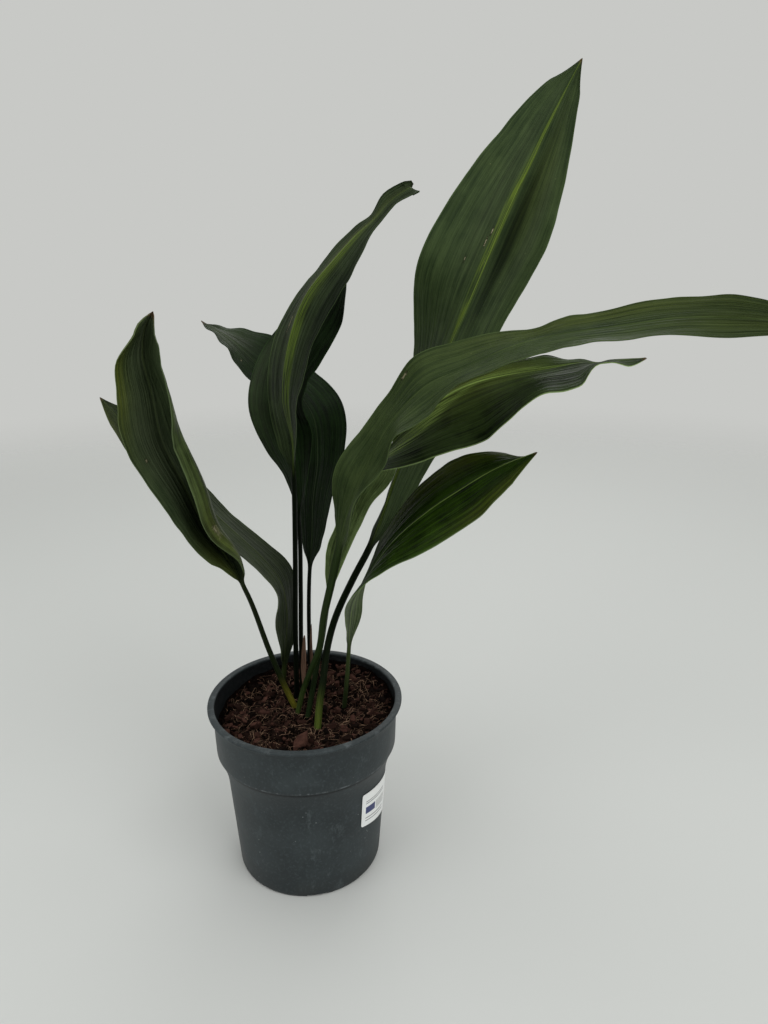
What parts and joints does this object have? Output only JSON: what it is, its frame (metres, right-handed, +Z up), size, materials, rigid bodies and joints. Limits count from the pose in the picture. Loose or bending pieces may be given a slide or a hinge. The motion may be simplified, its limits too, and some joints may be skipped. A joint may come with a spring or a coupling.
{
  "type": "house plant",
  "caption": "Potted cast iron plant: broad arching leaves on slim stalks, rising from bark mulch in a round tapered plastic nursery pot.",
  "frame": {"origin": "middle of the underside of the pot's base, on the surface it stands on", "axes": "+Z up; -Y is the front; +X is to the right, the way the longest leaf reaches"},
  "size_m": [0.4633, 0.3155, 0.6816],
  "materials": {
    "pot": "moulded, slightly scuffed",
    "label": "smooth coated paper",
    "soil": "rough, fibrous",
    "leaf": "satin, ribbed lengthwise",
    "sheath": "dry, papery"
  },
  "bodies": {
    "root": {"pot": "pot", "pot_label": "label", "soil": "soil", "leaf_front_left": "leaf", "leaf_far_left": "leaf", "leaf_centre": "leaf", "leaf_centre_back": "leaf", "leaf_back_left": "leaf", "leaf_tall_right": "leaf", "leaf_long_right": "leaf", "leaf_mid_right": "leaf", "leaf_low_right": "leaf", "sheath_centre": "sheath", "sheath_back": "sheath"}
  },
  "joints": []
}
